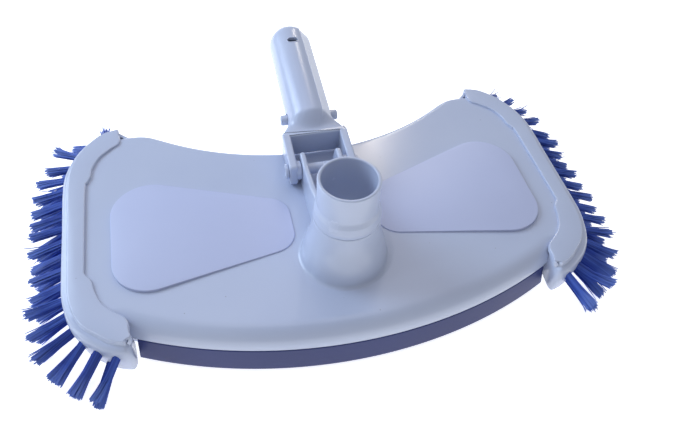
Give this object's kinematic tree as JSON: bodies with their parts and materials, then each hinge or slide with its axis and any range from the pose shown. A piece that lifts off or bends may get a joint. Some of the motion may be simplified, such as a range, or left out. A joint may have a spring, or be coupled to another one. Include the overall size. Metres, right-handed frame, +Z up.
{
  "type": "pool vacuum head with side brushes",
  "caption": "Weighted pool vacuum head with brush rows along both ends, a swivelling hose spigot and a hinged pole handle with snap buttons.",
  "frame": {"origin": "middle of the footprint of the whole model, on the floor under the head; the hose spigot's axis is at Y = -76.94 mm and the handle's pivot at Y = -5.44 mm", "axes": "+X towards the right-hand brush holder, +Y back towards the handle, +Z up"},
  "size_m": [0.4268, 0.2875, 0.1052],
  "materials": {
    "shell_white_abs": "moulded white ABS, semi-gloss",
    "bumper_soft_pvc": "extruded navy soft PVC, satin",
    "bristle_polypropylene": "royal blue polypropylene filament, slightly shiny",
    "stainless_steel": "plain stainless steel",
    "weight_steel": "zinc-coated mild steel, dull",
    "seal_rubber": "black nitrile, dull"
  },
  "bodies": {
    "head": {"top_shell": "shell_white_abs", "front_bumper": "bumper_soft_pvc", "brush_holder_left": "shell_white_abs", "brush_holder_right": "shell_white_abs", "side_tufts_left_upper": "bristle_polypropylene", "side_tufts_left_lower": "bristle_polypropylene", "side_tufts_right_upper": "bristle_polypropylene", "side_tufts_right_lower": "bristle_polypropylene", "holder_screws": "stainless_steel", "weight_left": "weight_steel", "weight_right": "weight_steel", "weight_cover_left": "shell_white_abs", "weight_cover_right": "shell_white_abs", "cover_screws": "stainless_steel", "floor_bar_front": "shell_white_abs", "floor_bar_rear": "shell_white_abs", "floor_tufts_front": "bristle_polypropylene", "floor_tufts_rear": "bristle_polypropylene", "pivot_pin": "shell_white_abs", "pin_cap": "shell_white_abs"},
    "handle": {"handle": "shell_white_abs", "clip_bend": "stainless_steel"},
    "hose_swivel": {"hose_spigot": "shell_white_abs", "spigot_seal": "seal_rubber", "spigot_retainer": "stainless_steel"},
    "clip_left": {"clip_leg_left": "stainless_steel", "snap_button_left": "shell_white_abs"},
    "clip_right": {"clip_leg_right": "stainless_steel", "snap_button_right": "shell_white_abs"}
  },
  "joints": [
    {"name": "handle_pivot", "type": "hinge", "parent": "head", "child": "handle", "pos_m": [0, -0.00544, 0.047], "axis": [1, 0, 0], "range_deg": [0, 105]},
    {"name": "hose_swivel_turn", "type": "hinge", "parent": "head", "child": "hose_swivel", "pos_m": [0, -0.07694, 0.0734], "axis": [0, 0, 1], "continuous": true},
    {"name": "snap_button_left_press", "type": "hinge", "parent": "handle", "child": "clip_left", "pos_m": [-0.007, 0.10547, 0.06259], "axis": [0, -0.1392, 0.9903], "range_deg": [0, 3.6], "stiffness_Nm_per_rad": 2},
    {"name": "snap_button_right_press", "type": "hinge", "parent": "handle", "child": "clip_right", "pos_m": [0.007, 0.10547, 0.06259], "axis": [0, 0.1392, -0.9903], "range_deg": [0, 3.6], "stiffness_Nm_per_rad": 2}
  ]
}
